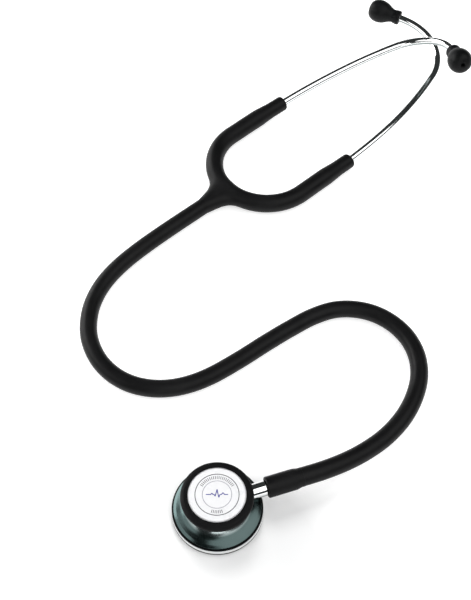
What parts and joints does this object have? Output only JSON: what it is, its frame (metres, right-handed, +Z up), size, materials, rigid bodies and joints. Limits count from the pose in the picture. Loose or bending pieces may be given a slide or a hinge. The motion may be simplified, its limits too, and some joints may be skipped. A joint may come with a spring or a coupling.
{
  "type": "stethoscope",
  "caption": "Dual-head stethoscope lying folded: chromed turning chestpiece, black tube and yoke, sprung chrome ear tubes with soft tips.",
  "frame": {"origin": "centre of the large diaphragm's outer face, on the table that the object lies on", "axes": "+Z up out of the table along the chestpiece's axis, towards the small diaphragm; +Y roughly from the chestpiece towards the headset; the stem leaves at 18 degrees from +X towards +Y"},
  "size_m": [0.2409, 0.4034, 0.049],
  "materials": {
    "polished_chrome": "mirror bright chrome plate",
    "turned_steel": "turned and polished, faint lathe marks",
    "spring_steel": "plain drawn steel",
    "black_vinyl": "smooth satin moulded vinyl",
    "black_rubber": "matt moulded rubber",
    "soft_black_rubber": "soft satin silicone",
    "white_disc": "white disc with thin printed circles",
    "diaphragm_sheet": "thin resin and glass fibre sheet, fine weave",
    "nylon": "moulded nylon"
  },
  "bodies": {
    "tubing": {"main_tube": "black_vinyl", "tube_end_cuff": "black_vinyl", "valve_stem": "polished_chrome", "stem_o_ring_inner": "black_rubber", "stem_o_ring_outer": "black_rubber", "yoke_centre": "black_vinyl", "leaf_spring": "spring_steel"},
    "chestpiece": {"chestpiece_body": "turned_steel", "small_diaphragm": "white_disc", "non_chill_ring": "black_rubber", "detent_ball": "spring_steel", "detent_spring": "spring_steel", "detent_screw": "spring_steel"},
    "diaphragm": {"large_diaphragm": "diaphragm_sheet"},
    "retaining_ring": {"large_retaining_ring": "polished_chrome"},
    "left_arm": {"left_yoke_arm": "black_vinyl"},
    "right_arm": {"right_yoke_arm": "black_vinyl"},
    "left_ear_tube": {"left_ear_tube": "polished_chrome"},
    "right_ear_tube": {"right_ear_tube": "polished_chrome"},
    "left_ear_tip": {"left_ear_tip": "soft_black_rubber", "left_ear_tip_core": "nylon"},
    "right_ear_tip": {"right_ear_tip": "soft_black_rubber", "right_ear_tip_core": "nylon"}
  },
  "joints": [
    {"name": "chestpiece_turn", "type": "hinge", "parent": "tubing", "child": "chestpiece", "pos_m": [0, 0, 0.011], "axis": [0.9511, 0.309, 0], "continuous": true},
    {"name": "diaphragm_travel", "type": "slide", "parent": "chestpiece", "child": "diaphragm", "axis": [0, 0, -1], "range_m": [0, 0.003]},
    {"name": "ring_unscrew", "type": "hinge", "parent": "diaphragm", "child": "retaining_ring", "pos_m": [0, 0, 0.0023], "axis": [0, 0, -1], "range_deg": [0, 1080]},
    {"name": "left_arm_spread", "type": "hinge", "parent": "tubing", "child": "left_arm", "pos_m": [-0.00246, 0.24511, 0.0056], "axis": [0, 0, 1], "range_deg": [0, 30], "stiffness_Nm_per_rad": 0.8},
    {"name": "right_arm_spread", "type": "hinge", "parent": "tubing", "child": "right_arm", "pos_m": [0.03541, 0.2023, 0.0056], "axis": [0, 0, -1], "range_deg": [0, 30], "stiffness_Nm_per_rad": 0.8},
    {"name": "left_ear_tube_turn", "type": "hinge", "parent": "left_arm", "child": "left_ear_tube", "pos_m": [0.04111, 0.28716, 0.0073], "axis": [0.796, 0.602, 0.0628], "range_deg": [-20, 20]},
    {"name": "right_ear_tube_turn", "type": "hinge", "parent": "right_arm", "child": "right_ear_tube", "pos_m": [0.0825, 0.23766, 0.0057], "axis": [0.7278, 0.6858, 0.0052], "range_deg": [-20, 20]},
    {"name": "left_ear_tip_pull", "type": "slide", "parent": "left_ear_tube", "child": "left_ear_tip", "axis": [0.1249, -0.9366, 0.3273], "range_m": [0, 0.0135]},
    {"name": "right_ear_tip_pull", "type": "slide", "parent": "right_ear_tube", "child": "right_ear_tip", "axis": [-0.9095, 0.4093, 0.0722], "range_m": [0, 0.0135]}
  ],
  "couplings": [
    {"joint": "diaphragm_travel", "follows": "ring_unscrew", "m_per_rad": 0.000159}
  ]
}
